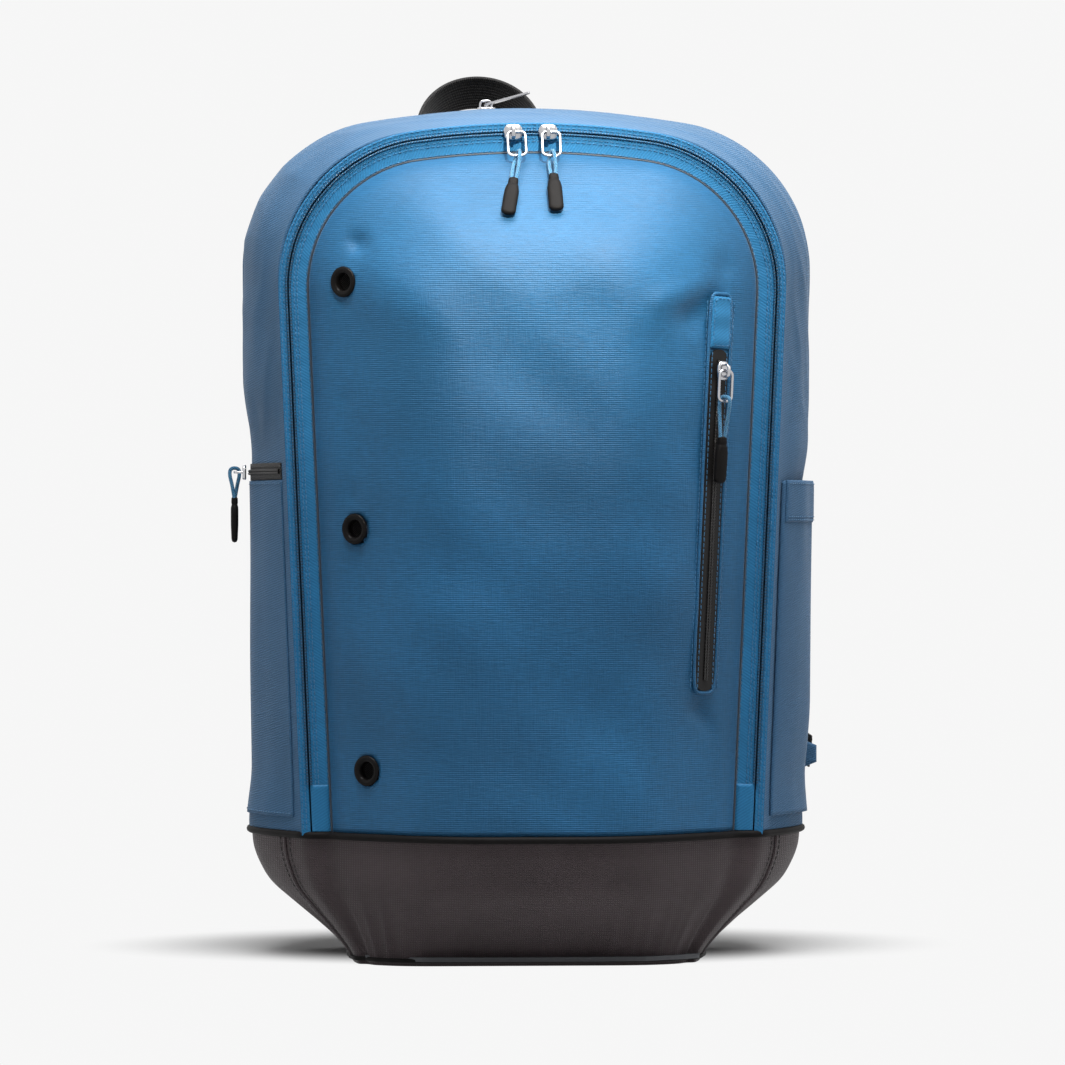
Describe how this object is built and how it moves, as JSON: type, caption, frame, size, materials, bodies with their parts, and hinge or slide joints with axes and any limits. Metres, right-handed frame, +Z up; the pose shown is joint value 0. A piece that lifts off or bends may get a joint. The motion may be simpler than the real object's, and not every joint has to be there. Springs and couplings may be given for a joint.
{
  "type": "racket backpack",
  "caption": "Racket backpack with a crowned clamshell front panel, zip sliders with cord pulls, front pocket zip, side pockets, padded shoulder straps and a boxed base.",
  "frame": {"origin": "on the ground under the middle of the bag's box", "axes": "+Z up, the front panel faces -Y, +X to the right seen from the front"},
  "size_m": [0.3596, 0.2562, 0.5222],
  "materials": {
    "base_fabric": "charcoal coated polyester, fine ripstop",
    "base_board": "stiffener board",
    "piping": "black corded piping",
    "gusset_fabric": "blue twill",
    "panel_fabric": "blue slub weave with a sheen",
    "lining": "thin grey lining",
    "zip_tape": "bright blue woven tape",
    "zip_coil": "blue nylon coil",
    "black_zip": "black tape and nylon coil",
    "slider_metal": "polished nickel plate",
    "pull_cord": "blue braided cord",
    "moulded_pull": "soft black moulding",
    "eyelet_black": "black moulding",
    "mesh": "black air mesh over foam",
    "strap_fabric": "black padded fabric",
    "webbing": "black ribbed webbing"
  },
  "bodies": {
    "bag": {"base_shell": "base_fabric", "base_piping": "piping", "base_board": "base_board", "gusset": "gusset_fabric", "rear_gusset": "gusset_fabric", "compartment_divider": "lining", "back_panel": "mesh", "bag_zip_tape": "zip_tape", "bag_zip_coil": "zip_coil", "side_pocket_right": "gusset_fabric", "side_pocket_hem": "gusset_fabric", "side_pocket_left": "gusset_fabric", "side_zip_tape": "zip_tape", "side_zip_coil": "zip_coil", "rear_zip_tape": "zip_tape", "rear_zip_coil": "zip_coil", "back_pad_left": "mesh", "shoulder_strap_left": "strap_fabric", "ladder_lock_left": "eyelet_black", "strap_webbing_left": "webbing", "strap_anchor_left": "webbing", "back_pad_right": "mesh", "shoulder_strap_right": "strap_fabric", "ladder_lock_right": "eyelet_black", "strap_webbing_right": "webbing", "strap_anchor_right": "webbing", "lumbar_pad": "mesh", "strap_yoke": "strap_fabric", "handle_patch": "webbing"},
    "front_flap": {"front_panel": "panel_fabric", "panel_lining": "lining", "panel_zip_tape": "zip_tape", "panel_zip_coil": "zip_coil", "zip_end_tab_left": "panel_fabric", "zip_end_tab_right": "panel_fabric", "eyelets": "eyelet_black", "eyelet_meshes": "mesh", "pocket_zip_tape": "black_zip", "pocket_zip_coil": "black_zip", "pocket_zip_garage": "panel_fabric"},
    "left_slider": {"main_slider_left": "slider_metal"},
    "left_link": {"main_link_left": "slider_metal"},
    "left_tag": {"main_cord_left": "pull_cord", "main_pull_left": "moulded_pull"},
    "right_slider": {"main_slider_right": "slider_metal"},
    "right_link": {"main_link_right": "slider_metal"},
    "right_tag": {"main_cord_right": "pull_cord", "main_pull_right": "moulded_pull"},
    "pocket_slider": {"pocket_slider": "slider_metal"},
    "pocket_link": {"pocket_link": "slider_metal"},
    "pocket_tag": {"pocket_cord": "pull_cord", "pocket_pull": "moulded_pull"},
    "side_slider": {"side_slider": "slider_metal"},
    "side_tag": {"side_cord": "pull_cord", "side_pull": "moulded_pull"},
    "rear_slider": {"rear_slider": "slider_metal"},
    "rear_puller": {"rear_puller": "slider_metal"},
    "grab_handle": {"grab_handle": "webbing"}
  },
  "joints": [
    {"name": "front_flap_opening", "type": "hinge", "parent": "bag", "child": "front_flap", "pos_m": [0, -0.1278, 0.07615], "axis": [1, 0, 0], "range_deg": [0, 80]},
    {"name": "left_slider_travel", "type": "hinge", "parent": "front_flap", "child": "left_slider", "pos_m": [0, -0.07375, 0.008], "axis": [0, -1, 0], "range_deg": [0, 5]},
    {"name": "left_link_swing", "type": "hinge", "parent": "left_slider", "child": "left_link", "pos_m": [-0.0115, -0.07752, 0.47586], "axis": [-0.9997, 0, -0.0246], "range_deg": [0, 80]},
    {"name": "left_tag_swing", "type": "hinge", "parent": "left_link", "child": "left_tag", "pos_m": [-0.00955, -0.08714, 0.46164], "axis": [-0.9997, 0, -0.0246], "range_deg": [0, 75]},
    {"name": "right_slider_travel", "type": "hinge", "parent": "front_flap", "child": "right_slider", "pos_m": [0, -0.07375, 0.008], "axis": [0, 1, 0], "range_deg": [0, 5]},
    {"name": "right_link_swing", "type": "hinge", "parent": "right_slider", "child": "right_link", "pos_m": [0.0085, -0.07752, 0.47592], "axis": [-0.9998, 0, 0.0182], "range_deg": [0, 80]},
    {"name": "right_tag_swing", "type": "hinge", "parent": "right_link", "child": "right_tag", "pos_m": [0.00984, -0.08714, 0.46164], "axis": [-0.9998, 0, 0.0182], "range_deg": [0, 75]},
    {"name": "pocket_slider_travel", "type": "slide", "parent": "front_flap", "child": "pocket_slider", "axis": [-0.0448, 0, -0.999], "range_m": [0, 0.115]},
    {"name": "pocket_link_swing", "type": "hinge", "parent": "pocket_slider", "child": "pocket_link", "pos_m": [0.10818, -0.10208, 0.33881], "axis": [-0.7714, -0.6355, 0.0346], "range_deg": [0, 110]},
    {"name": "pocket_tag_swing", "type": "hinge", "parent": "pocket_link", "child": "pocket_tag", "pos_m": [0.10741, -0.10208, 0.32162], "axis": [-0.7714, -0.6355, 0.0346], "range_deg": [0, 75]},
    {"name": "side_slider_travel", "type": "slide", "parent": "bag", "child": "side_slider", "axis": [0, 1, 0], "range_m": [0, 0.019]},
    {"name": "side_tag_swing", "type": "hinge", "parent": "side_slider", "child": "side_tag", "pos_m": [-0.17084, -0.00305, 0.2821], "axis": [0, 1, 0], "range_deg": [0, 100]},
    {"name": "rear_slider_travel", "type": "hinge", "parent": "bag", "child": "rear_slider", "pos_m": [0, 0.03395, 0.02556], "axis": [0, 1, 0], "range_deg": [-5, 8]},
    {"name": "rear_puller_flip", "type": "hinge", "parent": "rear_slider", "child": "rear_puller", "pos_m": [-0.02234, 0.03395, 0.5007], "axis": [0, -1, 0], "range_deg": [-8, 140]},
    {"name": "handle_swing", "type": "hinge", "parent": "bag", "child": "grab_handle", "pos_m": [-0.024, 0.08395, 0.478], "axis": [-1, 0, 0], "range_deg": [-45, 30]}
  ]
}
